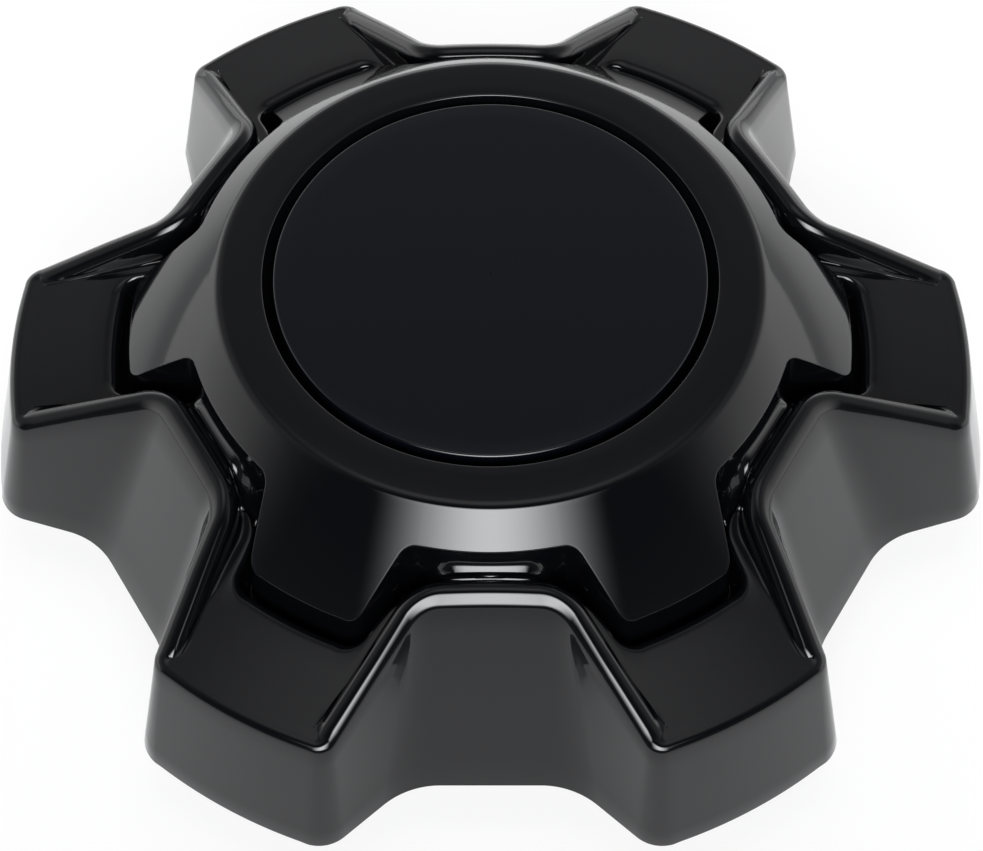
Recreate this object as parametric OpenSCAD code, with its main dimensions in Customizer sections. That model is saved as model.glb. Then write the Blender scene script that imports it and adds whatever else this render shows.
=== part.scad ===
/* [Outline at the rim] */
// Radius of the lobe ends at the rim, half of the size across the lobes
lobe_r = 72.5; // [71:0.1:75]
// Distance from the centre to the flat floor of each notch at the rim
notch_r = 59.3; // [58.5:0.1:60.5]
// Half of the width of the notch floor at the rim, up to the sharp corner
notch_half = 11.4; // [10.6:0.1:12.6]
// Angle of the notch sides at the rim, from the notch axis
notch_flare = 47.8; // [45.4:0.2:50.4]
// Radius of the hollow corners of the notch at the rim
notch_fillet = 11.5; // [8:0.5:14]
// Radius of the upright corners of the lobes at the rim
lobe_corner = 5.2; // [4:0.1:6]

/* [Ridge] */
// Distance from the centre to the ridge's crest in a notch
ridge_notch_r = 46.35; // [46.2:0.05:47]
// Radius of the rounded edge's centre line on a lobe end
ridge_lobe_r = 67.1; // [66.2:0.05:68]
// Half of the width of the crest across a notch, up to the sharp corner
ridge_half = 9.6; // [9.2:0.05:10]
// Angle of the crest beside a notch, from the notch axis
ridge_flare = 37; // [36.2:0.1:38.2]
// Radius of the crest's hollow corners beside a notch
ridge_fillet = 6.5; // [5:0.25:8]
// Radius of the crest's corners on a lobe
ridge_corner = 1.2; // [0.8:0.1:1.6]
// Radius of the rounded crest in a notch
bead_notch = 2.15; // [1.9:0.05:2.2]
// Radius of the rounded edge at a lobe end
bead_lobe = 1.5; // [1.2:0.05:1.7]
// Height of the crest above the rim in a notch
crest_notch_h = 32.1; // [31:0.1:33.4]
// Height of the rounded edge above the rim at a lobe end
crest_lobe_h = 20.95; // [20:0.05:22]

/* [Pads and channel] */
// Slope of the pads, falling outwards
pad_slope = 11; // [8:0.5:13]
// Radius of the channel's outer wall on a lobe
channel_lobe_r = 54.6; // [54:0.1:55.2]
// Half of the width of the channel's outer wall across a notch
channel_half = 13.1; // [12.6:0.1:13.6]
// Radius of the hollow corners of the channel's outer wall
channel_fillet = 5; // [4:0.25:6]
// Radius of the corners of the channel's outer wall on a lobe
channel_corner = 2.4; // [1.6:0.1:3]
// Gap between the ridge's inside and the channel in a notch
channel_gap = 0.3; // [0.25:0.05:0.4]
// Height of the channel's floor above the rim at the dome in a notch
channel_floor_h = 22.5; // [20.5:0.25:23.5]
// Fall of the channel's floor for each millimetre outwards
channel_fall = 0.46; // [0.35:0.01:0.5]
// Rounding of the pads' inner lip on a lobe
lip_round = 1.5; // [0.8:0.1:2]
// Rounding of the pads' inner lip beside a notch
lip_side = 0.5; // [0.3:0.05:0.7]
// Lean of the channel's walls over their height
draft = 0.1; // [0.05:0.01:0.14]

/* [Dome] */
// Height of the face above the rim
face_h = 38.8; // [38:0.1:40.4]
// Radius of the flat ring around the centre disc
face_r = 37.7; // [36.5:0.1:38.5]
// Radius of the dome's edge in a notch
dome_notch_r = 42.1; // [41.6:0.1:42.4]
// Radius of the dome's edge on a lobe
dome_lobe_r = 50.9; // [50.4:0.1:51.2]
// Half of the width of the dome's edge across a notch
dome_half = 12.7; // [12.3:0.1:13]
// Angle of the dome's edge beside a notch, from the notch axis
dome_flare = 43.5; // [42:0.25:45]
// Radius of the hollow corners of the dome's edge
dome_fillet = 2.5; // [1.5:0.1:3.5]
// Radius of the corners of the dome's edge on a lobe
dome_corner = 1.8; // [1.2:0.1:2.4]
// Height of the dome's edge above the rim in a notch
dome_edge_h = 34.7; // [34.2:0.05:35.1]
// Radius of the shoulder's curve from the face down to the edge
shoulder_r = 73; // [68:1:80]
// Slope of the shoulder at the dome's edge in a notch
shoulder_slope = 45.1; // [44.2:0.1:46]
// Rounding of the dome's edge
dome_edge = 0.5; // [0.3:0.05:0.7]
// Rounding where the shoulder meets the face
face_round = 0.8; // [0.4:0.05:1.2]
// Chamfer around the recess in the face
recess_edge = 0.35; // [0.2:0.05:0.5]

/* [Centre disc] */
// Radius of the disc
disc_r = 30.1; // [29:0.05:30.5]
// Thickness of the disc, and depth of its recess
disc_t = 2; // [1.5:0.1:2.4]
// Gap around the disc
disc_gap = 1.35; // [0.8:0.05:1.6]
// Rounding of the disc's upper edge
disc_round = 0.5; // [0.2:0.05:0.8]
// Radius of the disc's spigot
spigot_r = 8; // [5:0.5:12]
// Clearance around the spigot
spigot_gap = 0.1; // [0.05:0.05:0.3]
// How far the spigot stands out behind the shell
spigot_out = 1.3; // [0.6:0.1:3]
// Chamfer of the spigot's end
spigot_chamfer = 0.5; // [0.2:0.1:0.6]

/* [Walls] */
// Thickness of the side wall
wall = 2.5; // [2:0.1:2.8]
// Thickness of the dome, pads and channel floor
skin = 2.4; // [2:0.1:2.6]
// How far the wall thins behind a notch, where its upper half leans in
notch_thin = 1.2; // [0.8:0.05:1.4]

/* [Snap legs and ring] */
// Outer radius of the legs
leg_r = 52.4; // [51.8:0.1:52.6]
// Thickness of the legs
leg_t = 2.6; // [2.2:0.1:2.8]
// Reach of the legs below the rim
leg_reach = 8; // [7:0.25:9]
// Arc that each leg takes, in degrees
leg_arc = 17; // [12:1:20]
// How far the barbs stand out
barb = 1.2; // [0.6:0.1:1.4]
// Height of the land on each barb
barb_land = 0.6; // [0.3:0.1:1]
// Height of the slope above the land, down to the leg
barb_back = 1.8; // [1.2:0.1:2.4]
// Width of the lead-in at the legs' ends, outside
lead_in = 0.8; // [0.5:0.05:1]
// Chamfer of the legs' ends, inside
leg_chamfer = 0.6; // [0.3:0.05:0.8]
// How deep the legs are rooted in the channel's floor
leg_root = 0.7; // [0.4:0.1:1.2]
// Radius of the ring's wire
wire_r = 1; // [0.8:0.05:1.1]
// How deep the wire sits in the legs
wire_seat = 0.8; // [0.5:0.05:0.9]
// Clearance around the wire in its seat
wire_play = 0.05; // [0.02:0.01:0.1]
// Height of the wire above the legs' ends
wire_h = 4; // [3.5:0.1:4.5]
// Arc of the ring's gap, in degrees
ring_gap = 8; // [4:1:14]

/* [Hidden] */
$fn = 180;
wire_fn = 32;
lobes = 6;
step = 360 / lobes;
rim_h = leg_reach;
crest_centre_notch = crest_notch_h - bead_notch;
crest_centre_lobe = crest_lobe_h - bead_lobe;
crest_fall = (crest_centre_notch - crest_centre_lobe) / (ridge_lobe_r - ridge_notch_r);
bead_side = (bead_notch + bead_lobe) / 2;
wall_up = 15;
bead_turn = 25;
bead_end = 165;
under_up = 0.85;
crown_under = face_h - disc_t - skin;
recess_r = disc_r + disc_gap;
hole_r = spigot_r + spigot_gap;
spigot_end = -disc_t - skin - spigot_out;
wire_track = leg_r - leg_t + wire_seat - wire_r;
shoulder_c = [dome_notch_r, dome_edge_h] - shoulder_r * [sin(shoulder_slope), cos(shoulder_slope)];

// An outline is [notch distance, half width of the notch floor, flare of the notch side,
// lobe radius, hollow corner radius, lobe corner radius, 1 where the notch floor is an arc]
rim_o = [notch_r, notch_half, notch_flare, lobe_r, notch_fillet, lobe_corner, 0];
crest_o = [ridge_notch_r, ridge_half, ridge_flare, ridge_lobe_r, ridge_fillet, ridge_corner, 0];
foot_o = grow(crest_o, -bead_notch - draft, -bead_side - draft, -bead_lobe - 2 * draft);
lip_o = [
    ridge_notch_r - bead_notch - channel_gap,
    channel_half,
    ridge_flare,
    channel_lobe_r,
    channel_fillet,
    channel_corner,
    0
];
dome_o = [dome_notch_r, dome_half, dome_flare, dome_lobe_r, dome_fillet, dome_corner, 1];
dome_top_o = grow(dome_o, -dome_edge, -dome_edge, -dome_edge);
dome_mid_o = grow(dome_o, -dome_edge * 0.3, -dome_edge * 0.3, -dome_edge * 0.3);
dome_in_o = grow(dome_o, -skin, -skin, -skin);
trough_o = grow(lip_o, skin, skin, skin);
under_o = grow(blend(rim_o, bead(wall_up), under_up), notch_thin - wall, -wall, -wall);

function unit(v) = v / norm(v);
function mix(a, b, t) = a + (b - a) * t;
function blend(a, b, t) = [for (i = [0:6]) i == 6 ? a[6] : mix(a[i], b[i], t)];

// An outline moved outwards by a at the notch floor, s at the notch sides and l at the lobe end
function grow(o, a, s, l) = [
    o[0] + a,
    o[1] - s * cos(o[2]) + (a - s * sin(o[2])) * tan(o[2]),
    o[2],
    o[3] + l,
    max(o[4] - (a + s) / 2, 0.4),
    max(o[5] + (s + l) / 2, 0.4),
    o[6]
];
function bead(phi) = grow(crest_o, bead_notch * cos(phi), bead_side * cos(phi), bead_lobe * cos(phi));

// The point where a line from p along d meets a circle of radius r about the centre
function reach(p, d, r) = let (b = p * d) p + d * (sqrt(b * b - p * p + r * r) - b);

// Points of a rounded corner at q between p and r
function corner(p, q, r, rad, n) =
    let (
        u = unit(p - q),
        v = unit(r - q),
        half = acos(u * v) / 2,
        s = q + u * rad / tan(half),
        c = q + unit(u + v) * rad / sin(half),
        turn = (u[0] * v[1] - u[1] * v[0]) > 0 ? -1 : 1,
        start = atan2(s[1] - c[1], s[0] - c[0])
    )
    [for (k = [0:n]) let (a = start + turn * (180 - 2 * half) * k / n) c + rad * [cos(a), sin(a)]];

// Half of one sector, from the middle of a notch to the middle of a lobe
function half_sector(o) =
    let (
        d = [cos(o[2]), sin(o[2])],
        p = [o[0], o[1]],
        q = o[6] == 1 ? reach(p, d, o[0]) : p,
        before = o[6] == 1 ? q + [q[1], -q[0]] : [o[0], 0],
        far = reach(p, d, o[3]),
        past = far + [-far[1], far[0]],
        a = corner(before, q, far, o[4], 3),
        b = corner(q, far, past, o[5], 3),
        e = atan2(b[3][1], b[3][0]),
        f = atan2(a[0][1], a[0][0]) / 2
    )
    concat(
        [[o[0], 0], o[6] == 1 ? o[0] * [cos(f), sin(f)] : a[0] * 0.5 + [o[0] / 2, 0]],
        a,
        b,
        [for (t = [0.5, 1]) let (w = mix(e, step / 2, t)) o[3] * [cos(w), sin(w)]]
    );
function whole(o) =
    let (h = half_sector(o), n = len(h))
    [for (k = [0:lobes - 1])
        let (w = step * (k + 0.5))
        for (i = [1 - n:n - 2])
            let (p = h[abs(i)], y = i < 0 ? -p[1] : p[1])
            [p[0] * cos(w) - y * sin(w), p[0] * sin(w) + y * cos(w)]
    ];

// Heights above the rim
function pad_z(r) = crest_lobe_h + (ridge_lobe_r - r) * tan(pad_slope);
function floor_z(r) = channel_floor_h - (r - dome_notch_r) * channel_fall;
function crest_z(r) = crest_centre_notch - (r - ridge_notch_r) * crest_fall;
function bead_r(r) = mix(bead_notch, bead_lobe, (r - ridge_notch_r) / (ridge_lobe_r - ridge_notch_r));
function shoulder_z(r, inset) =
    shoulder_c[1] + sqrt(pow(shoulder_r - inset, 2) - pow(r - shoulder_c[0], 2));
function dome_z(r) = min(face_h, shoulder_z(r, 0));
function vault_z(r) = min(crown_under, shoulder_z(r, skin));

function level(pts, z) = [for (p = pts) [p[0], p[1], z]];
function on_pad(pts, drop) = [for (p = pts) [p[0], p[1], pad_z(norm(p)) - drop]];
function on_floor(pts, drop) = [for (p = pts) [p[0], p[1], floor_z(norm(p)) - drop]];
function on_dome(pts, drop) = [for (p = pts) [p[0], p[1], dome_z(norm(p)) - drop]];
function on_vault(pts) = [for (p = pts) [p[0], p[1], vault_z(norm(p))]];

// One line along the rounded crest, at the angle phi around it
function bead_loop(phi) =
    let (c = whole(crest_o), p = whole(bead(phi)))
    [for (i = [0:len(c) - 1])
        let (r = norm(c[i]), z = crest_z(r) + bead_r(r) * sin(phi))
        [p[i][0], p[i][1], phi > 90 ? max(z, pad_z(norm(p[i]))) : z]
    ];
function circle_loop(r, z) = [for (p = whole(dome_o)) let (u = unit(p)) [r * u[0], r * u[1], z]];
function toward(r, o, t) = [for (p = whole(o)) mix(r * unit(p), p, t)];
function lip_loop(t) =
    let (
        a = whole(lip_o),
        b = whole(grow(lip_o, draft, lip_side, lip_round)),
        drop = lip_round * (1 - sqrt(1 - t * t))
    )
    [for (i = [0:len(a) - 1])
        let (p = mix(b[i], a[i], t), k = norm(b[i] - a[i]) / lip_round)
        [p[0], p[1], pad_z(norm(p)) - drop * k]
    ];

// The shell's lines in order: up the wall, over the crest, across the pad and channel,
// up the dome to the recess and the hole, and back underneath to the rim
shell_loops = concat(
    [level(whole(rim_o), 0)],
    [for (phi = [wall_up:bead_turn:bead_end]) bead_loop(phi)],
    [
        on_pad(whole(foot_o), 0),
        lip_loop(0),
        lip_loop(0.7),
        lip_loop(1),
        on_floor(whole(grow(lip_o, -draft, -draft, -2 * draft)), 0),
        on_floor(whole(grow(dome_o, 3 * draft, 3 * draft, 5 * draft)), 0),
        on_dome(whole(dome_o), dome_edge * 1.6),
        on_dome(whole(dome_mid_o), dome_edge * 0.4),
        on_dome(whole(dome_top_o), 0),
        on_dome(toward(face_r + face_round * 0.75, dome_top_o, 0.6), 0),
        on_dome(toward(face_r + face_round * 0.75, dome_top_o, 0.25), 0),
        on_dome(toward(face_r + face_round * 0.75, dome_top_o, 0), 0),
        circle_loop(face_r - face_round * 0.125, face_h - face_round * 0.15),
        circle_loop(face_r - face_round, face_h),
        circle_loop(recess_r + recess_edge, face_h),
        circle_loop(recess_r, face_h - recess_edge),
        circle_loop(recess_r, face_h - disc_t),
        circle_loop(hole_r, face_h - disc_t),
        circle_loop(hole_r, crown_under),
        circle_loop(face_r, crown_under),
        on_vault(toward(face_r, dome_in_o, 0.5)),
        on_vault(whole(dome_in_o)),
        on_floor(whole(dome_in_o), skin),
        on_floor(whole(trough_o), skin),
        on_pad(whole(grow(trough_o, draft, draft, draft)), skin),
        on_pad(whole(under_o), skin),
        level(whole(grow(rim_o, -wall, -wall, -wall)), 0)
    ]
);

module loft(loops) {
    m = len(loops);
    n = len(loops[0]);
    polyhedron(
        points = [for (l = loops) for (p = l) p],
        faces = [for (j = [0:m - 1]) for (i = [0:n - 1])
            let (a = j * n, b = ((j + 1) % m) * n, k = (i + 1) % n)
            each [[a + i, b + i, b + k], [a + i, b + k, a + k]]
        ]
    );
}

// One snap leg about the lobe's middle, with its barb, its lead-in and the seat for the wire
module leg() {
    inner = leg_r - leg_t;
    root = floor_z(leg_r) - leg_root;
    bottom = -leg_reach;
    land = bottom + wire_h + barb_land;
    difference() {
        rotate([0, 0, -leg_arc / 2])
            rotate_extrude(angle = leg_arc)
                polygon([
                    [inner, root],
                    [inner, bottom + leg_chamfer],
                    [inner + leg_chamfer, bottom],
                    [leg_r - lead_in, bottom],
                    [leg_r + barb, bottom + wire_h],
                    [leg_r + barb, land],
                    [leg_r, land + barb_back],
                    [leg_r, root]
                ]);
        translate([0, 0, bottom + wire_h])
            rotate_extrude()
                translate([wire_track, 0])
                    circle(r = wire_r + wire_play, $fn = wire_fn);
    }
}

module cap_shell() {
    color([0.02, 0.02, 0.022])
        translate([0, 0, rim_h])
            union() {
                loft(shell_loops);
                for (k = [0:lobes - 1])
                    rotate([0, 0, step * k])
                        leg();
            }
}

module centre_disc() {
    color([0.03, 0.03, 0.033])
        translate([0, 0, rim_h + face_h])
            rotate_extrude()
                polygon(concat(
                    [[0, 0]],
                    [for (w = [90:-15:0]) [disc_r - disc_round, -disc_round] + disc_round * [cos(w), sin(w)]],
                    [
                        [disc_r, -disc_t],
                        [spigot_r, -disc_t],
                        [spigot_r, spigot_end + spigot_chamfer],
                        [spigot_r - spigot_chamfer, spigot_end],
                        [0, spigot_end]
                    ]
                ));
}

module retaining_ring() {
    color([0.62, 0.63, 0.65])
        translate([0, 0, wire_h])
            rotate([0, 0, step / 2 + ring_gap / 2])
                rotate_extrude(angle = 360 - ring_gap)
                    translate([wire_track, 0])
                        circle(r = wire_r, $fn = wire_fn);
}

cap_shell();
centre_disc();
retaining_ring();
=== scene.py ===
import math
from collections import namedtuple

import bmesh
import bpy
import numpy as np
from bpy.props import FloatProperty, FloatVectorProperty, PointerProperty
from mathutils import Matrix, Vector


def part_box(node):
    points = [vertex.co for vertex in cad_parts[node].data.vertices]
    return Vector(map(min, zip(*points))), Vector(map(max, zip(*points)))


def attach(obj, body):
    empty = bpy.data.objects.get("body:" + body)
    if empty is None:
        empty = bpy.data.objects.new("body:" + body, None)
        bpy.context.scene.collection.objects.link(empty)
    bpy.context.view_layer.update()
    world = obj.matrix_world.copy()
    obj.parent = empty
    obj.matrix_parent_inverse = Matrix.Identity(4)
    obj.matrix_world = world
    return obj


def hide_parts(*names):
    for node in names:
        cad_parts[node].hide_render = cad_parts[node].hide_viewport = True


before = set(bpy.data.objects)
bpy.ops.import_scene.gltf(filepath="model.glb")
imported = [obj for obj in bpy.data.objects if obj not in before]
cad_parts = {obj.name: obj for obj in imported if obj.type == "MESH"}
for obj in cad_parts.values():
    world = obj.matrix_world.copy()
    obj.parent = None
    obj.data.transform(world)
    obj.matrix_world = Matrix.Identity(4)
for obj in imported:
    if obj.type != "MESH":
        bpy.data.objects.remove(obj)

bl_info = {
    "name": "Axle Cover",
    "version": (1, 0, 0),
    "blender": (4, 5, 0),
    "location": "View3D > Sidebar > Axle Cover",
    "description": "Dresses the solids of a lobed wheel cap in smooth gloss black skins and lights them",
    "category": "Add Mesh",
}

ROOT = "root"
LOBES = 6
STEP = math.tau / LOBES
SHELL_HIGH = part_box("cap_shell")[1]
DISC_LOW, DISC_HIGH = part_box("centre_disc")
WIRE_LOW, WIRE_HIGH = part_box("retaining_ring")

# Points on each stretch of an outline, from the middle of a notch to the middle of a lobe
FLOOR_POINTS, HOLLOW_POINTS, SIDE_POINTS, CORNER_POINTS, LOBE_POINTS = 9, 18, 14, 14, 11
# Least distance between loops that must not meet, and least radius of a rounded corner
SLIVER, LEAST_ROUND = 0.0001, 0.0004
# Share of the room beside it that a rounding may take
ROUND_SHARE = 0.4
# Steps in which the disc, the wire ring and a leg are turned about the axis
DISC_TURNS, WIRE_TURNS, LEG_TURNS = 256, 240, 16

# Flow ripple of the moulded plastic: features to the metre, detail and height in metres
RIPPLE_SCALE, RIPPLE_DETAIL, RIPPLE_HEIGHT = 90.0, 2.0, 0.0001
# Haze from handling: features to the metre, detail and spread of the roughness
HAZE_SCALE, HAZE_DETAIL, HAZE_SPREAD = 260.0, 4.0, 0.03
PLASTIC_IOR = 1.5
# Drawing lines of the wire: features to the metre, detail and spread of the roughness
STREAK_SCALE, STREAK_DETAIL, STREAK_SPREAD = 700.0, 3.0, 0.2

# Brightness of the studio's walls by the sine of the height, from the horizon to straight above
STUDIO_HEIGHTS = [(0.0, 1.5), (0.12, 1.6), (0.45, 0.42), (0.7, 0.3), (0.84, 0.15), (0.93, 0.3), (1.0, 0.75)]
# Half of the floor's width, and the width in millimetres of the sensor that the lens is given for
FLOOR_REACH = 3.0
SENSOR_WIDTH = 36

Outline = namedtuple("Outline", "notch half flare lobe hollow corner arced")


def length(name, text, default):
    """A size that a user may change, in metres."""
    return FloatProperty(name=name, description=text, default=default, min=0, unit="LENGTH", precision=5)


def angle(name, text, degrees):
    """An angle that a user may change."""
    return FloatProperty(name=name, description=text, default=math.radians(degrees), subtype="ANGLE")


def number(name, text, default):
    """A plain number that a user may change."""
    return FloatProperty(name=name, description=text, default=default)


def tint(name, text, default):
    """A colour that a user may change."""
    return FloatVectorProperty(
        name=name, description=text, default=default, min=0, max=1, subtype="COLOR", size=3
    )


class WallSizes(bpy.types.PropertyGroup):
    """The side wall and the ridge along its top"""

    rim: length("Rim height", "Height of the rim above the ends of the snap legs", 0.008)
    rim_round: length("Rim edge", "Rounding of the wall's lower edge", 0.0004)
    lobe: length("Lobe radius", "Radius of the lobe ends at the rim", SHELL_HIGH.x)
    notch: length("Notch radius", "Distance from the axis to a notch floor at the rim", 0.0593)
    half: length("Notch half width", "Half of a notch floor's width at the rim", 0.0114)
    flare: angle("Notch flare", "Angle of the notch sides at the rim", 47.8)
    hollow: length("Hollow corner", "Radius of a notch's hollow corners at the rim", 0.0115)
    corner: length("Lobe corner", "Radius of a lobe's upright corners at the rim", 0.0052)
    crest_notch: length("Crest in a notch", "Distance from the axis to the crest in a notch", 0.04635)
    crest_lobe: length("Crest on a lobe", "Distance from the axis to the edge of a lobe", 0.0671)
    crest_half: length("Crest half width", "Half of the crest's straight stretch across a notch", 0.0096)
    crest_flare: angle("Crest flare", "Angle of the crest beside a notch", 37)
    crest_hollow: length("Crest hollow corner", "Radius of the crest's hollow corners", 0.0065)
    crest_corner: length("Crest corner", "Radius of the crest's corners on a lobe", 0.0012)
    bead_notch: length("Bead in a notch", "Radius of the rounded crest in a notch", 0.00215)
    bead_lobe: length("Bead on a lobe", "Radius of the rounding along the edge of a lobe", 0.0015)
    crest_tilt: angle("Crest tilt", "Direction in which the crest is flattened", 47.5)
    crest_flat: number("Crest flat", "Share of the crest's radius at its flat", 0.8)
    high: length("Crest height", "Height of the crest above the rim in a notch", 0.0321)
    low: length("Lobe edge height", "Height of a lobe's edge above the rim", 0.02095)
    wall: length("Wall", "Thickness of the side wall", 0.0025)
    thin: length("Thinning", "How far the wall thins behind a notch", 0.0012)


class DeckSizes(bpy.types.PropertyGroup):
    """The pads, the channel, the dome and the recess in the face"""

    pad_slope: angle("Pad slope", "Fall of the pads outwards", 11)
    lip: length("Channel radius", "Radius of the channel's outer wall on a lobe", 0.0529)
    lip_half: length("Channel half width", "Half of the channel's straight stretch across a notch", 0.0131)
    lip_gap: length("Ledge", "Width between the ridge and the channel in a notch", 0.0003)
    lip_hollow: length("Channel hollow corner", "Radius of the channel's corners in a notch", 0.005)
    lip_corner: length("Channel corner", "Radius of the channel's corners on a lobe", 0.0024)
    lip_round: length("Lip", "Rounding of the pads' inner lip on a lobe", 0.0022)
    lip_side: length("Lip beside a notch", "Rounding of the pads' inner lip beside a notch", 0.0008)
    floor: length("Channel floor", "Height of the channel's floor above the rim in a notch", 0.0225)
    floor_fall: number("Channel fall", "Fall of the channel's floor outwards", 0.46)
    floor_outer: length("Floor outside", "How far the floor rises at the channel's outer wall", 0.0011)
    floor_inner: length("Floor inside", "How far the floor sinks at the dome's side", 0.0004)
    floor_round: length("Floor rounding", "Rounding along both sides of the channel's floor", 0.001)
    slope: number("Fillet fall", "Fall of the fillet behind a notch's ridge", 0.93)
    drop: length("Dome wall", "Height of the wall under the dome's edge in a notch", 0.0016)
    saddle_half: length("Fillet half width", "Half of the fillet's width behind a notch's ridge", 0.005)
    saddle_fall: number("Fillet ends", "How steeply the fillet falls at its ends", 350)
    face: length("Face height", "Height of the face above the rim", SHELL_HIGH.z - 0.008)
    face_radius: length("Face radius", "Radius of the flat face", 0.0377)
    face_round: length("Face rounding", "Rounding between the face and the shoulder", 0.0007)
    dome_notch: length("Dome in a notch", "Radius of the dome's edge in a notch", 0.0423)
    dome_lobe: length("Dome on a lobe", "Radius of the dome's edge on a lobe", 0.0511)
    dome_half: length("Dome half width", "Half of the dome's edge across a notch", 0.0125)
    dome_flare: angle("Dome flare", "Angle of the dome's edge beside a notch", 43.8)
    dome_hollow: length("Dome hollow corner", "Radius of the dome's corners in a notch", 0.0027)
    dome_corner: length("Dome corner", "Radius of the dome's corners on a lobe", 0.0024)
    dome_lean: length("Dome side", "How far the dome's side leans out towards its foot", 0.0003)
    dome_lean_lobe: length("Dome side on a lobe", "How far it leans out on a lobe's end", 0.0005)
    edge_height: length("Dome edge height", "Height of the dome's edge above the rim in a notch", 0.0345)
    shoulder: length("Shoulder", "Radius of the curve from the face down to the dome's edge", 0.14)
    shoulder_slope: angle("Shoulder slope", "Slope of the shoulder at the dome's edge in a notch", 43.5)
    edge: length("Dome edge", "Rounding of the dome's edge", 0.0001)
    recess: length("Recess radius", "Radius of the recess around the disc", 0.03145)
    recess_edge: length("Recess edge", "Rounding around the recess", 0.00035)
    recess_depth: length("Recess depth", "Depth of the recess around the disc", 0.002)
    groove: length("Groove", "Depth of the groove around the disc, below the recess", 0.0016)
    hole: length("Hole radius", "Radius of the hole for the disc's spigot", 0.0081)
    skin: length("Skin", "Thickness of the dome and the channel floor", 0.0024)
    pad_skin: length("Pad skin", "How much thicker the pads are than the channel floor", 0.0002)


class DiscSizes(bpy.types.PropertyGroup):
    """The centre disc"""

    edge: length("Disc edge", "Rounding of the disc's edge and of its spigot's end", 0.0005)
    gap: length("Spigot gap", "Clearance around the disc's spigot", 0.0001)
    pin: length("Pin-hole", "Radius at the axis where the turned faces of the disc end", 0.0001)


class LegSizes(bpy.types.PropertyGroup):
    """The snap legs behind the cover and the wire ring in them"""

    radius: length("Leg radius", "Outer radius of the legs", 0.0524)
    thick: length("Leg thickness", "Thickness of the legs", 0.0026)
    arc: angle("Leg arc", "Arc that each leg takes", 17)
    root: length("Leg root", "How deep the legs are rooted in the channel's floor", 0.0007)
    lead: length("Lead-in", "Width of the lead-in at the legs' ends, outside", 0.0008)
    chamfer: length("Leg chamfer", "Chamfer of the legs' ends, inside", 0.0006)
    barb: length("Barb", "How far the barbs stand out", 0.0012)
    land: length("Barb land", "Height of the land on each barb", 0.0006)
    slope: length("Barb slope", "Height of the slope above the land", 0.0018)
    wire: length("Wire radius", "Radius of the ring's wire", (WIRE_HIGH.z - WIRE_LOW.z) / 2)
    play: length("Wire play", "Clearance around the wire in the legs", 0.00005)
    gap: angle("Ring gap", "Arc of the ring's gap", 8)


class CoverFinishes(bpy.types.PropertyGroup):
    """Base colours and finishes of the materials"""

    black: tint("Black", "Moulded gloss plastic of the shell", (0.0022, 0.0024, 0.0032))
    black_roughness: number("Shell roughness", "Roughness of the shell's plastic", 0.06)
    black_ripple: number("Shell ripple", "Strength of the flow ripple in the shell", 0.05)
    disc: tint("Disc", "Gloss plastic of the centre disc", (0.002, 0.0023, 0.0042))
    disc_roughness: number("Disc roughness", "Roughness of the disc's plastic", 0.08)
    disc_ripple: number("Disc ripple", "Strength of the flow ripple in the disc", 0.04)
    wire: tint("Wire", "Drawn spring wire", (0.56, 0.57, 0.58))
    wire_roughness: number("Wire roughness", "Roughness of the wire between its drawing lines", 0.22)
    ground: tint("Ground", "Matte floor", (0.8, 0.8, 0.8))


class StageSizes(bpy.types.PropertyGroup):
    """The camera, as fitted to the photograph, and the studio around the cover"""

    lens: number("Lens", "Focal length on a 36 mm sensor", 111.1)
    elevation: angle("Elevation", "Height of the camera above the horizon", 56.883)
    distance: length("Distance", "Distance of the camera", 0.434044)
    aim_height: length("Aim", "Height of the point that the camera looks at, above the rim", 0.020)
    aside: FloatProperty(name="Aside", description="Move to the right", default=0.00014, unit="LENGTH")
    below: length("Below", "Move downwards across the view", 0.010769)
    shadow: number("Shadow", "Share of the floor's shadow that shows", 0.15)
    studio: number("Studio", "Brightness of the studio's walls", 1.0)
    behind_camera: number("Behind the camera", "Share of that light behind the camera", 0.07)
    front_dark: number("Front", "Where the dark behind the camera is full", -0.5)
    front_light: number("Side", "Where the dark behind the camera ends", -0.02)
    box: number("Soft light", "Brightness of the soft light in front", 13.5)
    box_tint: tint("Soft light colour", "Colour of the soft light in front", (0.97, 0.98, 1))
    box_elevation: angle("Soft light height", "Height of the soft light above the horizon", 38)
    box_wide: number("Soft light width", "Half of its width at unit distance", 0.54)
    box_tall: number("Soft light depth", "Half of its height at unit distance", 0.3)
    box_core: number("Soft light core", "Share of its height at full brightness", 0.5)
    box_front: number("Soft light front", "How soon it fades out to the rear", 0.1)
    lamp_back: length("Lamp back", "Distance of the overhead lamp behind the axis", 0.14)
    lamp_height: length("Lamp height", "Height of the overhead lamp", 0.5)
    lamp_aim: length("Lamp aim", "Distance behind the axis at which the lamp points", 0.12)
    lamp_wide: length("Lamp width", "Width of the lamp", 0.9)
    lamp_deep: length("Lamp depth", "Depth of the lamp", 0.2)
    lamp_spread: angle("Lamp spread", "Spread of the lamp's light", 80)
    lamp_power: FloatProperty(name="Lamp power", description="Power of the lamp", default=0.7, unit="POWER")


def unit(v):
    """The vector at length one."""
    return v / np.linalg.norm(v)


def grow(outline, floor, side, lobe):
    """The outline moved outwards at its notch floors, notch sides and lobe ends."""
    flare = outline.flare
    half = outline.half - side * math.cos(flare) + (floor - side * math.sin(flare)) * math.tan(flare)
    return outline._replace(
        notch=outline.notch + floor,
        half=half,
        lobe=outline.lobe + lobe,
        hollow=max(outline.hollow - (floor + side) / 2, LEAST_ROUND),
        corner=max(outline.corner + (side + lobe) / 2, LEAST_ROUND),
    )


def mixed(a, b, t):
    """The outline that lies between two others."""
    return Outline(*[x + (y - x) * t for x, y in zip(a[:-1], b[:-1])], a.arced)


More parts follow.
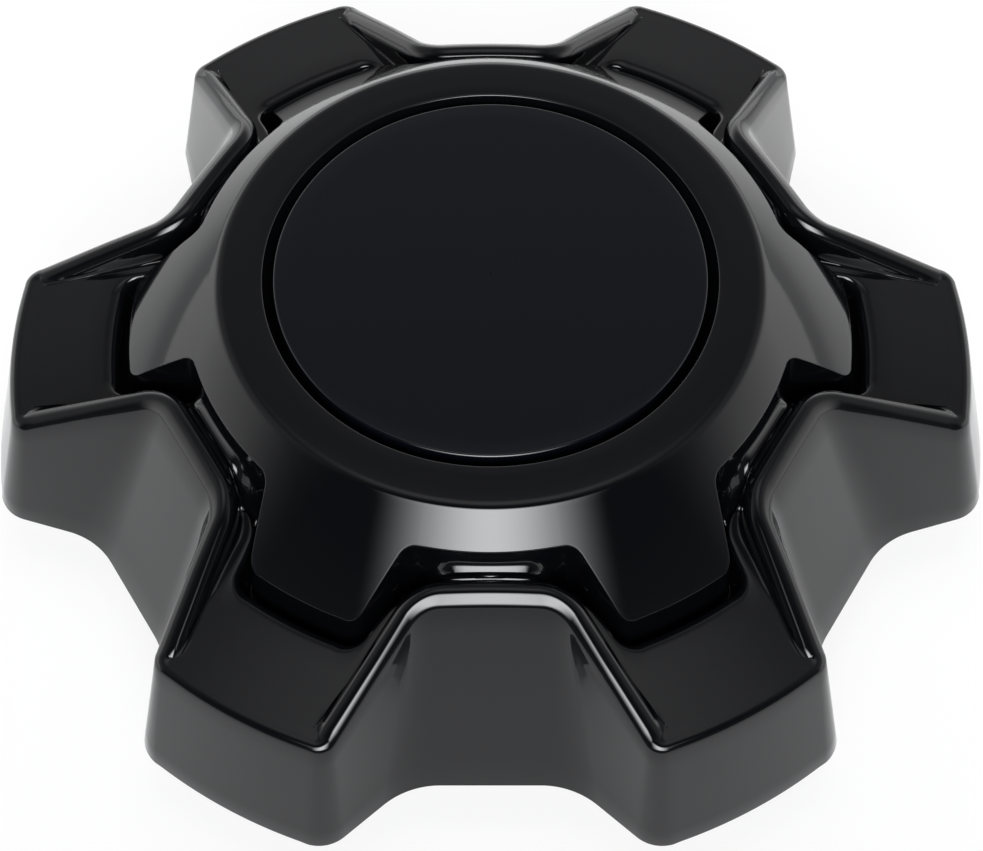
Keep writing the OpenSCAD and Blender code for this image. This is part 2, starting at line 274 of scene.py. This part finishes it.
def onto_circle(point, heading, radius):
    """Where a line from a point meets a circle about the axis."""
    along = point @ heading
    return point + heading * (math.sqrt(along**2 - point @ point + radius**2) - along)


def rounded(before, corner, after, radius, count):
    """Points of the arc that rounds a corner."""
    u, v = unit(before - corner), unit(after - corner)
    half = math.acos(u @ v) / 2
    start = corner + u * radius / math.tan(half)
    centre = corner + unit(u + v) * radius / math.sin(half)
    turn = -1 if u[0] * v[1] - u[1] * v[0] > 0 else 1
    first = math.atan2(*(start - centre)[::-1])
    angles = first + turn * (math.pi - 2 * half) * np.linspace(0, 1, count)
    return centre + radius * np.stack([np.cos(angles), np.sin(angles)], 1)


def half_sector(o):
    """Points from the middle of a notch to the middle of a lobe, with the notch along +X."""
    heading = np.array([math.cos(o.flare), math.sin(o.flare)])
    start = np.array([o.notch, o.half])
    inner = onto_circle(start, heading, o.notch) if o.arced else start
    before = inner + [inner[1], -inner[0]] if o.arced else np.array([o.notch, 0])
    outer = onto_circle(start, heading, o.lobe)
    after = outer + [-outer[1], outer[0]]
    hollow = rounded(before, inner, outer, o.hollow, HOLLOW_POINTS)
    corner = rounded(inner, outer, after, o.corner, CORNER_POINTS)
    share = np.linspace(0, 1, FLOOR_POINTS + 1)[:-1, None]
    if o.arced:
        turn = share[:, 0] * math.atan2(hollow[0][1], hollow[0][0])
        floor = o.notch * np.stack([np.cos(turn), np.sin(turn)], 1)
    else:
        floor = hollow[0] * share + np.array([o.notch, 0]) * (1 - share)
    share = np.linspace(0, 1, SIDE_POINTS + 2)[1:-1, None]
    side = hollow[-1] * (1 - share) + corner[0] * share
    turn = np.linspace(math.atan2(corner[-1][1], corner[-1][0]), STEP / 2, LOBE_POINTS + 1)[1:]
    lobe = o.lobe * np.stack([np.cos(turn), np.sin(turn)], 1)
    return np.concatenate([floor, hollow, side, corner, lobe])


def ring(o):
    """All points of an outline, anticlockwise from the first lobe's middle."""
    half = half_sector(o)
    sector = np.concatenate([half[:0:-1] * [1, -1], half[:-1]])
    turns = [STEP * (k + 0.5) for k in range(LOBES)]
    return np.concatenate(
        [sector @ np.array([[math.cos(w), math.sin(w)], [-math.sin(w), math.cos(w)]]) for w in turns]
    )


def radius_of(points):
    """Distance of each point from the axis."""
    return np.hypot(points[:, 0], points[:, 1])


def lift(points, height):
    """Plan points at a height, which is one number or one for each point."""
    return np.column_stack([points[:, 0], points[:, 1], np.broadcast_to(height, len(points))])


def over(a, b, ease):
    """The larger of two heights, blended where they differ by less than ease."""
    least_ease = 1e-9
    near = np.clip(1 - np.abs(a - b) / np.maximum(ease, least_ease), 0, 1)
    return np.maximum(a, b) + near**2 * ease / 4


def even(steps, first=0.0, last=1.0):
    """Numbers from first to last in even steps, without the first itself."""
    return np.linspace(first, last, steps + 1)[1:]


def run(a, b, steps):
    """Loops from a to b in even steps, without a itself."""
    return [a + (b - a) * t for t in even(steps)]


def bend(a, corner, b, steps):
    """Loops that round the corner between a and b, without a itself."""
    return [a * (1 - t) ** 2 + corner * 2 * t * (1 - t) + b * t**2 for t in even(steps)]


class Cover:
    """The cover's surfaces, as outlines and as heights above the rim."""

    # Angles around the crest where the wall's slope ends and where the ridge's inside begins
    wall_up = math.radians(15)
    inside = math.radians(176)
    # Where the crest's flat has faded out, on the way from a notch to a lobe's edge
    flat_end = 0.5
    # How softly the crest's flat, the fillet in a notch and the ridge's foot run into their surroundings
    flat_ease = 0.3
    saddle_ease = 0.0015
    foot_ease = 0.0004
    foot_share = 0.2

    def __init__(self, walls, deck):
        self.w, self.d = walls, deck
        self.rim = Outline(
            walls.notch,
            walls.half,
            walls.flare,
            walls.lobe,
            walls.hollow,
            walls.corner,
            False,
        )
        self.crest = Outline(
            walls.crest_notch,
            walls.crest_half,
            walls.crest_flare,
            walls.crest_lobe,
            walls.crest_hollow,
            walls.crest_corner,
            False,
        )
        self.lip = Outline(
            walls.crest_notch - walls.bead_notch - deck.lip_gap,
            deck.lip_half,
            walls.crest_flare,
            deck.lip,
            deck.lip_hollow,
            deck.lip_corner,
            False,
        )
        self.dome = Outline(
            deck.dome_notch,
            deck.dome_half,
            deck.dome_flare,
            deck.dome_lobe,
            deck.dome_hollow,
            deck.dome_corner,
            True,
        )
        self.bead_side = (walls.bead_notch + walls.bead_lobe) / 2
        slope = deck.shoulder_slope
        self.centre = np.array([deck.dome_notch, deck.edge_height]) - deck.shoulder * np.array(
            [math.sin(slope), math.cos(slope)]
        )
        self.crest_radii = radius_of(ring(self.crest))
        self.under = deck.face - deck.recess_depth - deck.skin

    def flat_pad(self, points):
        """Height of a pad, which falls outwards."""
        return self.w.low + (self.w.crest_lobe - radius_of(points)) * math.tan(self.d.pad_slope)

    def pad(self, points):
        """Height of a pad, or of the fillet where that stands higher."""
        return over(self.flat_pad(points), self.saddle(points), self.saddle_ease)

    def flat_floor(self, points):
        """Height of the channel's floor, which falls outwards."""
        return self.d.floor - (radius_of(points) - self.d.dome_notch) * self.d.floor_fall

    def foot(self, points, rise):
        """A foot of the channel's floor, which the fillet in a notch may cover."""
        return lift(points, over(self.flat_floor(points) + rise, self.saddle(points), self.saddle_ease))

    def shoulder(self, radii, inset=0.0):
        """Height of the dome's shoulder, or of a surface inside it."""
        return self.centre[1] + np.sqrt((self.d.shoulder - inset) ** 2 - (radii - self.centre[0]) ** 2)

    def along_crest(self):
        """Share of the way out from a notch to a lobe's edge, for each point of the crest."""
        return (self.crest_radii - self.w.crest_notch) / (self.w.crest_lobe - self.w.crest_notch)

    def bead_radius(self):
        """Radius of the crest's rounding, for each point of the crest."""
        return self.w.bead_notch + (self.w.bead_lobe - self.w.bead_notch) * self.along_crest()

    def bead_centre(self):
        """Height of the middle of that rounding."""
        first = self.w.high - self.w.bead_notch
        return first + (self.w.low - self.w.bead_lobe - first) * self.along_crest()

    def bead(self, turn):
        """A loop along the crest, at an angle around it from the outside."""
        out, up = self.flattened(turn)
        round_out, round_up = math.cos(turn), math.sin(turn)
        side = (out + round_out) / 2
        grown = grow(self.crest, self.w.bead_notch * out, self.bead_side * side, self.w.bead_lobe * round_out)
        points = ring(grown)
        share = np.clip(self.along_crest() / self.flat_end, 0, 1)
        height = self.bead_centre() + self.bead_radius() * (up + (round_up - up) * share)
        if turn > math.pi / 2:
            height = over(height, self.pad(points), self.blend_width())
        return lift(points, height)

    def flattened(self, turn):
        """A point of the crest's section, a circle with a flat towards the outside."""
        tilt = self.w.crest_tilt
        along, across = math.cos(turn - tilt), math.sin(turn - tilt)
        along = -float(over(-along, -self.w.crest_flat, self.flat_ease))
        return (
            along * math.cos(tilt) - across * math.sin(tilt),
            along * math.sin(tilt) + across * math.cos(tilt),
        )

    def saddle(self, points):
        """Height of the fillet that fills the channel in a notch, between the dome and the ridge."""
        turns = np.arctan2(points[:, 1], points[:, 0])
        aside = radius_of(points) * np.sin(turns % STEP - STEP / 2)
        past = np.maximum(np.abs(aside) - self.d.saddle_half, 0)
        fall = (radius_of(points) - self.d.dome_notch) * self.d.slope
        return self.d.edge_height - self.d.drop - fall - past**2 * self.d.saddle_fall

    def ridge_height(self):
        """Height of the crest over the pad beside it."""
        top = self.bead_centre() + self.bead_radius()
        return np.maximum(top - self.pad(ring(self.crest)), 0)

    def blend_width(self):
        """Height over which the ridge's inside runs into the pad."""
        return np.minimum(self.ridge_height() * self.foot_share, self.foot_ease)

    def lip_loop(self, turn):
        """A loop around the pads' rounded inner lip, from 0 on the pad to a quarter turn on the wall."""
        edge = ring(self.lip)
        back = ring(grow(self.lip, SLIVER, self.d.lip_side, self.d.lip_round))
        points = back + (edge - back) * math.sin(turn)
        width = np.linalg.norm(back - edge, axis=1)
        return lift(points, self.pad(points) - width * (1 - math.cos(turn)))

    def face_edge(self):
        """Radius at which the shoulder's curve would meet the face."""
        return self.centre[0] + math.sqrt(self.d.shoulder**2 - (self.d.face - self.centre[1]) ** 2)

    def circle(self, radius, height):
        """A circle about the axis, with as many points as an outline."""
        points = ring(self.dome)
        return lift(points * (radius / radius_of(points))[:, None], height)

    def toward(self, radius, outline, share, inset=0.0):
        """A loop on the shoulder, part of the way from a circle out to an outline."""
        points = ring(outline)
        start = points * (radius / radius_of(points))[:, None]
        points = start + (points - start) * share
        height = self.shoulder(radius_of(points), inset)
        return lift(points, np.minimum(height, self.under) if inset else height)


def wall_rows(c):
    """Loops up the outside of the wall and over the crest."""
    soft = c.w.rim_round
    foot, top = lift(ring(c.rim), 0), c.bead(c.wall_up)
    low = foot + (top - foot) * (soft / c.w.high)
    rows = [lift(ring(grow(c.rim, -soft, -soft, -soft)), 0)]
    rows += bend(rows[0], foot, low, steps=3)
    rows += run(low, top, steps=7)
    rows += [c.bead(turn) for turn in even(8, c.wall_up, math.pi / 2)]
    rows += [c.bead(turn) for turn in even(10, math.pi / 2, c.inside)]
    return rows


def pad_rows(c):
    """Loops down the inside of the ridge, across the pads and around their lip."""
    least_width, least_rise, most_round = 0.00003, 0.000002, 0.0006
    foot = ring(
        grow(c.crest, -c.w.bead_notch - SLIVER, -c.bead_side - SLIVER, -c.w.bead_lobe - 2 * SLIVER)
    )
    start = c.lip_loop(0)
    width = np.maximum(np.linalg.norm(foot - start[:, :2], axis=1), least_width)
    size = np.minimum(np.minimum(width, c.ridge_height()) * ROUND_SHARE, most_round)
    ground = lift(foot, c.pad(foot))
    raised = ground + np.outer(size + least_rise, [0, 0, 1])
    share = (np.maximum(size, least_width * 2) / width)[:, None]
    after_plan = foot + (start[:, :2] - foot) * share
    after = lift(after_plan, c.pad(after_plan))
    rows = run(c.bead(c.inside), raised, steps=4)
    rows += bend(raised, ground, after, steps=4)
    flat = [foot + (start[:, :2] - foot) * (share + (1 - share) * t) for t in even(4)[:-1]]
    rows += [lift(plan, c.pad(plan)) for plan in flat]
    rows += [start] + [c.lip_loop(turn) for turn in even(8, last=math.pi / 2)]
    return rows


def channel_rows(c):
    """Loops down the channel's outer wall, across its floor and up the dome's side."""
    edge, lean = c.d.edge, c.d.dome_lean
    # How far the rounding of the dome's edge reaches down, against how far it reaches in
    edge_drop = 1.6
    outer = ring(grow(c.lip, -SLIVER, -SLIVER, -2 * SLIVER))
    inner = ring(grow(c.dome, lean, lean, c.d.dome_lean_lobe))
    top = c.lip_loop(math.pi / 2)
    a, b = c.foot(outer, c.d.floor_outer), c.foot(inner, -c.d.floor_inner)
    width = np.linalg.norm(outer - inner, axis=1)
    size = (np.minimum(width * ROUND_SHARE, c.d.floor_round) / width)[:, None]
    rise = np.outer(size[:, 0] * width, [0, 0, 1])
    rows = run(top, a + rise, steps=4)
    rows += bend(a + rise, a, a + (b - a) * size, steps=3)
    rows += run(a + (b - a) * size, b + (a - b) * size, steps=2)
    rows += bend(b + (a - b) * size, b, b + rise, steps=3)
    corner = c.toward(c.d.face_radius, c.dome, 1.0)
    below = corner - [0, 0, edge * edge_drop]
    after = c.toward(c.d.face_radius, grow(c.dome, -edge, -edge, -edge), 1.0)
    rows += run(b + rise, below, steps=4)
    rows += bend(below, corner, after, steps=6)
    return rows


def face_rows(c):
    """Loops up the dome's shoulder, over the flat ring and into the recess and its groove."""
    edge, soft = c.d.edge, c.d.recess_edge
    disc, bottom = DISC_HIGH.x, c.d.face - c.d.recess_depth
    groove_gap, groove_slope = 0.00015, 0.0003
    # How far the face's rounding goes in over the face, against how far it goes down the shoulder
    over_face = 1.05
    crease = c.face_edge()
    start = crease + c.d.face_round
    outline = grow(c.dome, -edge, -edge, -edge)
    rows = [c.toward(start, outline, t) for t in even(21, 1, 0)]
    slope = math.atan2(crease - c.centre[0], c.d.face - c.centre[1])
    across = (c.d.face - c.shoulder(start)) / math.tan(slope)
    flat = start - across - c.d.face_round * over_face
    rows += bend(rows[-1], c.circle(start - across, c.d.face), c.circle(flat, c.d.face), steps=7)
    rim = c.circle(c.d.recess + soft, c.d.face)
    rows += run(rows[-1], rim, steps=3)
    rows += bend(rim, c.circle(c.d.recess, c.d.face), c.circle(c.d.recess, c.d.face - soft), steps=4)
    rows += run(rows[-1], c.circle(disc + groove_gap, bottom - c.d.groove), steps=3)
    rows += [c.circle(disc - groove_slope, bottom), c.circle(c.d.hole, bottom)]
    return rows


def under_rows(c):
    """Loops behind the cover, from the hole back out to the rim."""
    skin, wall = c.d.skin, c.w.wall
    # Share of the wall's height at which the pads meet it behind the cover
    deck_share = 0.85
    dome = grow(c.dome, -skin, -skin, -skin)
    trough = grow(c.lip, skin, skin, skin)
    side = grow(trough, SLIVER, SLIVER, SLIVER)
    outside = mixed(c.rim, grow(c.crest, c.w.bead_notch, c.bead_side, c.w.bead_lobe), deck_share)
    deck = grow(outside, skin - wall - c.w.thin, -wall, -wall)
    rows = [c.circle(c.d.hole, c.under), c.circle(c.d.face_radius, c.under)]
    rows += [c.toward(c.d.face_radius, dome, t, skin) for t in even(4)]
    rows += [lift(ring(o), c.flat_floor(ring(o)) - skin) for o in (dome, trough)]
    rows += [lift(ring(o), c.flat_pad(ring(o)) - skin - c.d.pad_skin) for o in (side, deck)]
    rows += run(rows[-1], lift(ring(grow(c.rim, -wall, -wall, -wall)), 0), steps=2)
    return rows


def loft(name, rows, height=0.0):
    """A closed mesh through loops of equal length, with the last one joined to the first."""
    count, around = len(rows), len(rows[0])
    points = np.concatenate(rows) + [0, 0, height]
    j, i = np.meshgrid(np.arange(count), np.arange(around), indexing="ij")
    here, there = j * around, (j + 1) % count * around
    after = (i + 1) % around
    quads = np.stack([here + i, here + after, there + after, there + i], -1).reshape(-1, 4)
    mesh = bpy.data.meshes.new(name)
    mesh.from_pydata(points.tolist(), [], quads.tolist())
    mesh.update()
    return mesh


def lathe(name, profile, turns, start=0.0, sweep=math.tau):
    """A mesh made by turning a closed profile of (radius, height) points about the axis."""
    whole = sweep == math.tau
    count = turns if whole else turns + 1
    built = bmesh.new()
    columns = []
    for k in range(count):
        w = start + sweep * k / turns
        columns.append([built.verts.new((r * math.cos(w), r * math.sin(w), z)) for r, z in profile])
    n = len(profile)
    for k in range(turns):
        a, b = columns[k], columns[(k + 1) % count]
        for i in range(n):
            built.faces.new([a[i], b[i], b[(i + 1) % n], a[(i + 1) % n]])
    if not whole:
        built.faces.new(columns[0])
        built.faces.new(columns[-1][::-1])
    bmesh.ops.recalc_face_normals(built, faces=built.faces)
    mesh = bpy.data.meshes.new(name)
    built.to_mesh(mesh)
    built.free()
    return mesh


def arc(centre, radius, first, last, steps):
    """Points of an arc in a profile, in degrees."""
    turns = np.radians(np.linspace(first, last, steps + 1))
    return [(centre[0] + radius * math.cos(t), centre[1] + radius * math.sin(t)) for t in turns]


def place(name, mesh, material, slot, *nodes):
    """Links a piece, rides it on the cover's body and lets it stand for solids."""
    piece = bpy.data.objects.new(name, mesh)
    bpy.context.scene.collection.objects.link(piece)
    piece.data.materials.append(material)
    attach(piece, ROOT)
    if nodes:
        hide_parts(*nodes)
    return piece


def smooth(piece, degrees=35):
    """Smooth shading, with edges over an angle kept sharp."""
    piece.data.polygons.foreach_set("use_smooth", [True] * len(piece.data.polygons))
    piece.data.set_sharp_from_angle(angle=math.radians(degrees))


class Value:
    """A socket in a material's nodes, with arithmetic that adds Math nodes."""

    def __init__(self, tree, socket):
        self.tree, self.socket = tree, socket

    def _math(self, operation, a, b):
        return self.tree.node("ShaderNodeMath", {"operation": operation}, {0: a, 1: b})

    def __add__(self, other):
        return self._math("ADD", self, other)

    def __mul__(self, other):
        return self._math("MULTIPLY", self, other)

    def __sub__(self, other):
        return self._math("SUBTRACT", self, other)

    def __rsub__(self, other):
        return self._math("SUBTRACT", other, self)

    __radd__, __rmul__ = __add__, __mul__

    def absolute(self):
        return self._math("ABSOLUTE", self, 0)


class Nodes:
    """The node tree of a material or a world."""

    def __init__(self, owner):
        owner.use_nodes = True
        self.tree = owner.node_tree
        self.tree.nodes.clear()

    def node(self, kind, settings=None, inputs=None, output=0):
        """Adds a node with its settings, sets or links its sockets, and gives one of its outputs."""
        made = self.tree.nodes.new(kind)
        for key, value in (settings or {}).items():
            if key == "stops":
                for element, (at, colour) in zip(ramp_elements(made, len(value)), value):
                    element.position, element.color = at, colour
            else:
                setattr(made, key, value)
        for key, value in (inputs or {}).items():
            if isinstance(value, Value):
                self.tree.links.new(value.socket, made.inputs[key])
            else:
                made.inputs[key].default_value = value
        return made if output is None or not made.outputs else Value(self, made.outputs[output])

    def between(self, value, low, high, first, last):
        """A smooth step from one value to another."""
        ends = {"Value": value, "From Min": low, "From Max": high, "To Min": first, "To Max": last}
        return self.node("ShaderNodeMapRange", {"interpolation_type": "SMOOTHSTEP"}, ends)

    def noise(self, scale, detail):
        """Noise fixed to the piece, with a number of features to the metre."""
        where = self.node("ShaderNodeTexCoord", output="Object")
        return self.node("ShaderNodeTexNoise", inputs={"Vector": where, "Scale": scale, "Detail": detail})


def ramp_elements(made, count):
    """The stops of a colour ramp, with as many as are needed."""
    elements = made.color_ramp.elements
    while len(elements) < count:
        elements.new(0.5)
    return elements


def moulded_plastic(name, colour, roughness, ripple):
    """Polished moulded plastic with a faint flow ripple and a little haze from handling."""
    material = bpy.data.materials.new(name)
    nodes = Nodes(material)
    waves = nodes.noise(RIPPLE_SCALE, RIPPLE_DETAIL)
    haze = nodes.noise(HAZE_SCALE, HAZE_DETAIL)
    bump = nodes.node(
        "ShaderNodeBump", inputs={"Strength": ripple, "Distance": RIPPLE_HEIGHT, "Height": waves}
    )
    shader = nodes.node(
        "ShaderNodeBsdfPrincipled",
        inputs={
            "Base Color": (*colour, 1),
            "Roughness": haze * HAZE_SPREAD + (roughness - HAZE_SPREAD / 2),
            "IOR": PLASTIC_IOR,
            "Normal": bump,
        },
    )
    nodes.node("ShaderNodeOutputMaterial", inputs={"Surface": shader})
    return material


def drawn_wire(name, colour, roughness):
    """Spring steel wire with fine drawing lines."""
    material = bpy.data.materials.new(name)
    nodes = Nodes(material)
    streaks = nodes.noise(STREAK_SCALE, STREAK_DETAIL)
    shader = nodes.node(
        "ShaderNodeBsdfPrincipled",
        inputs={
            "Base Color": (*colour, 1),
            "Metallic": 1.0,
            "Roughness": streaks * STREAK_SPREAD + roughness,
        },
    )
    nodes.node("ShaderNodeOutputMaterial", inputs={"Surface": shader})
    return material


def ground_material(colour, shadow):
    """A matte floor that the camera sees nearly as white, with a faint shadow kept."""
    material = bpy.data.materials.new("ground")
    nodes = Nodes(material)
    seen = nodes.node("ShaderNodeLightPath", output="Is Camera Ray")
    matte = nodes.node("ShaderNodeBsdfDiffuse", inputs={"Color": (*colour, 1)})
    bright = nodes.node("ShaderNodeEmission", inputs={"Color": (1, 1, 1, 1)})
    shader = nodes.node("ShaderNodeMixShader", inputs={0: seen * (1 - shadow), 1: matte, 2: bright})
    nodes.node("ShaderNodeOutputMaterial", inputs={"Surface": shader})
    return material


def studio_world(stage):
    """A bright sweep low down at the sides and behind, a dim ceiling and one soft light in front."""
    world = bpy.data.worlds.new("studio")
    nodes = Nodes(world)
    facing = nodes.node("ShaderNodeTexCoord", output="Generated")
    parts = nodes.node("ShaderNodeSeparateXYZ", inputs={0: facing}, output=None)
    side, back, up = (Value(nodes, part) for part in parts.outputs)
    stops = [(at, (level, level, level, 1)) for at, level in STUDIO_HEIGHTS]
    height = nodes.node("ShaderNodeValToRGB", {"stops": stops}, {0: up})
    shade = nodes.between(back, stage.front_dark, stage.front_light, stage.behind_camera, 1.0)
    e = stage.box_elevation
    into = up * math.sin(e) - back * math.cos(e)
    rise = up * math.cos(e) + back * math.sin(e)
    glow = (
        nodes.between(side.absolute(), 0.0, stage.box_wide, 1.0, 0.0)
        * nodes.between(rise.absolute(), stage.box_tall * stage.box_core, stage.box_tall, 1.0, 0.0)
        * nodes.between(into, 0.0, stage.box_front, 0.0, 1.0)
    )
    seen = nodes.node("ShaderNodeLightPath", output="Is Camera Ray")
    studio = nodes.node("ShaderNodeBackground", inputs={"Color": height, "Strength": shade * stage.studio})
    box = nodes.node(
        "ShaderNodeBackground", inputs={"Color": (*stage.box_tint, 1), "Strength": glow * stage.box}
    )
    white = nodes.node("ShaderNodeBackground", inputs={"Color": (1, 1, 1, 1)})
    lit = nodes.node("ShaderNodeAddShader", inputs={0: studio, 1: box})
    shader = nodes.node("ShaderNodeMixShader", inputs={0: seen, 1: lit, 2: white})
    nodes.node("ShaderNodeOutputWorld", inputs={"Surface": shader})
    return world


def overhead_lamp(stage):
    """A soft lamp above the rear of the cover, which shows in no reflection."""
    lamp = bpy.data.lights.new("overhead", "AREA")
    lamp.shape = "RECTANGLE"
    lamp.size, lamp.size_y = stage.lamp_wide, stage.lamp_deep
    lamp.energy = stage.lamp_power
    lamp.spread = stage.lamp_spread
    holder = bpy.data.objects.new("overhead", lamp)
    at = Vector((0, stage.lamp_back, stage.lamp_height))
    aim = Vector((0, stage.lamp_aim, 0))
    holder.location = at
    holder.rotation_euler = (aim - at).to_track_quat("-Z", "Y").to_euler()
    holder.visible_glossy = False
    return holder


def fitted_camera(stage, rim):
    """The camera that sees the cover as the photograph does."""
    lens = bpy.data.cameras.new("camera")
    lens.lens = stage.lens
    lens.sensor_width = SENSOR_WIDTH
    camera = bpy.data.objects.new("camera", lens)
    e = stage.elevation
    aim = Vector((stage.aside, 0, rim + stage.aim_height))
    back = Vector((0, -math.cos(e), math.sin(e)))
    up = Vector((0, math.sin(e), math.cos(e)))
    camera.location = aim + back * stage.distance - up * stage.below
    camera.rotation_euler = (math.pi / 2 - e, 0, 0)
    return camera


class COVER_OT_shell(bpy.types.Operator):
    """Makes the smooth skin of the moulded shell"""

    bl_idname = "cover.shell"
    bl_label = "Shell"

    def execute(self, context):
        scene = context.scene
        finish = scene.cover_finishes
        cover = Cover(scene.cover_walls, scene.cover_deck)
        rows = wall_rows(cover) + pad_rows(cover) + channel_rows(cover) + face_rows(cover) + under_rows(cover)
        mesh = loft("cap_shell", rows, scene.cover_walls.rim)
        black = moulded_plastic("gloss_black", finish.black, finish.black_roughness, finish.black_ripple)
        smooth(place("shell_skin", mesh, black, "gloss_black", "cap_shell"))
        return {"FINISHED"}


class COVER_OT_legs(bpy.types.Operator):
    """Makes the snap legs behind the cover, in the shell's plastic"""

    bl_idname = "cover.legs"
    bl_label = "Snap legs"

    def execute(self, context):
        scene = context.scene
        legs, walls, deck = scene.cover_legs, scene.cover_walls, scene.cover_deck
        inner, outer = legs.radius - legs.thick, legs.radius
        root = walls.rim + deck.floor - (legs.radius - deck.dome_notch) * deck.floor_fall - legs.root
        seat = (WIRE_HIGH.z + WIRE_LOW.z) / 2
        track = WIRE_HIGH.x - legs.wire
        reach = legs.wire + legs.play
        half = math.degrees(math.asin(math.sqrt(1 - ((inner - track) / reach) ** 2)))
        profile = [(inner, root)]
        profile += arc((track, seat), reach, half, -half, steps=8)
        profile += [(inner, legs.chamfer), (inner + legs.chamfer, 0), (outer - legs.lead, 0)]
        profile += [(outer + legs.barb, seat), (outer + legs.barb, seat + legs.land)]
        profile += [(outer, seat + legs.land + legs.slope), (outer, root)]
        black = bpy.data.materials["gloss_black"]
        for k in range(LOBES):
            mesh = lathe(f"snap_leg_{k + 1}", profile, LEG_TURNS, STEP * k - legs.arc / 2, legs.arc)
            smooth(place(f"snap_leg_{k + 1}", mesh, black, "gloss_black"))
        return {"FINISHED"}


class COVER_OT_disc(bpy.types.Operator):
    """Makes the centre disc with its rounded edge and spigot"""

    bl_idname = "cover.disc"
    bl_label = "Centre disc"

    def execute(self, context):
        scene = context.scene
        deck, sizes, finish = scene.cover_deck, scene.cover_disc, scene.cover_finishes
        radius, top, end = DISC_HIGH.x, DISC_HIGH.z, DISC_LOW.z
        seat = top - deck.recess_depth
        soft = sizes.edge
        spigot = deck.hole - sizes.gap
        profile = [(sizes.pin, end), (sizes.pin, top)]
        profile += [(radius * share, top) for share in (0.3, 0.6, 0.9)]
        profile += arc((radius - soft, top - soft), soft, 90, 0, steps=8)
        profile += [(radius, seat), (spigot, seat), (spigot, end + soft), (spigot - soft, end)]
        mesh = lathe("centre_disc", profile[::-1], DISC_TURNS)
        black = moulded_plastic("disc_black", finish.disc, finish.disc_roughness, finish.disc_ripple)
        smooth(place("disc_face", mesh, black, "disc_black", "centre_disc"))
        return {"FINISHED"}


class COVER_OT_wire(bpy.types.Operator):
    """Makes the open wire ring that springs the legs outwards"""

    bl_idname = "cover.wire"
    bl_label = "Wire ring"

    def execute(self, context):
        scene = context.scene
        legs, finish = scene.cover_legs, scene.cover_finishes
        track = WIRE_HIGH.x - legs.wire
        seat = (WIRE_HIGH.z + WIRE_LOW.z) / 2
        profile = arc((track, seat), legs.wire, 0, 360, steps=24)[:-1]
        mesh = lathe("wire_ring", profile, WIRE_TURNS, STEP / 2 + legs.gap / 2, math.tau - legs.gap)
        steel = drawn_wire("spring_wire", finish.wire, finish.wire_roughness)
        smooth(place("wire_ring", mesh, steel, "spring_wire", "retaining_ring"), degrees=50)
        return {"FINISHED"}


class COVER_OT_stage(bpy.types.Operator):
    """Makes the floor, the world, the lamp and the camera"""

    bl_idname = "cover.stage"
    bl_label = "Stage"

    def execute(self, context):
        scene = context.scene
        stage = scene.cover_stage
        signs = ((-1, -1), (1, -1), (1, 1), (-1, 1))
        corners = [(x * FLOOR_REACH, y * FLOOR_REACH, 0) for x, y in signs]
        mesh = bpy.data.meshes.new("floor")
        mesh.from_pydata(corners, [], [(0, 1, 2, 3)])
        floor = bpy.data.objects.new("floor", mesh)
        floor.data.materials.append(ground_material(scene.cover_finishes.ground, stage.shadow))
        scene.collection.objects.link(floor)
        scene.world = studio_world(stage)
        scene.collection.objects.link(overhead_lamp(stage))
        camera = fitted_camera(stage, scene.cover_walls.rim)
        scene.collection.objects.link(camera)
        scene.camera = camera
        scene.view_settings.view_transform = "Standard"
        return {"FINISHED"}


class COVER_PT_panel(bpy.types.Panel):
    """Lists the pieces of the cover and their sizes"""

    bl_idname = "COVER_PT_panel"
    bl_label = "Axle Cover"
    bl_space_type = "VIEW_3D"
    bl_region_type = "UI"
    bl_category = "Axle Cover"

    def draw(self, context):
        for step in STEPS:
            self.layout.operator(step.bl_idname)
        for name, group in GROUPS.items():
            column = self.layout.column()
            for size in group.__annotations__:
                column.prop(getattr(context.scene, name), size)


GROUPS = {
    "cover_walls": WallSizes,
    "cover_deck": DeckSizes,
    "cover_disc": DiscSizes,
    "cover_legs": LegSizes,
    "cover_finishes": CoverFinishes,
    "cover_stage": StageSizes,
}
STEPS = [COVER_OT_shell, COVER_OT_legs, COVER_OT_disc, COVER_OT_wire, COVER_OT_stage]


def register():
    """Registers the groups of sizes, the operators and the panel."""
    for name, group in GROUPS.items():
        bpy.utils.register_class(group)
        setattr(bpy.types.Scene, name, PointerProperty(type=group))
    for step in STEPS:
        bpy.utils.register_class(step)
    bpy.utils.register_class(COVER_PT_panel)


def unregister():
    """Takes all of them out again."""
    bpy.utils.unregister_class(COVER_PT_panel)
    for step in STEPS:
        bpy.utils.unregister_class(step)
    for name, group in GROUPS.items():
        delattr(bpy.types.Scene, name)
        bpy.utils.unregister_class(group)


def main():
    """Makes every piece and the stage."""
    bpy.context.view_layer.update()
    register()
    bpy.ops.cover.shell()
    bpy.ops.cover.legs()
    bpy.ops.cover.disc()
    bpy.ops.cover.wire()
    bpy.ops.cover.stage()


if __name__ == "__main__":
    main()
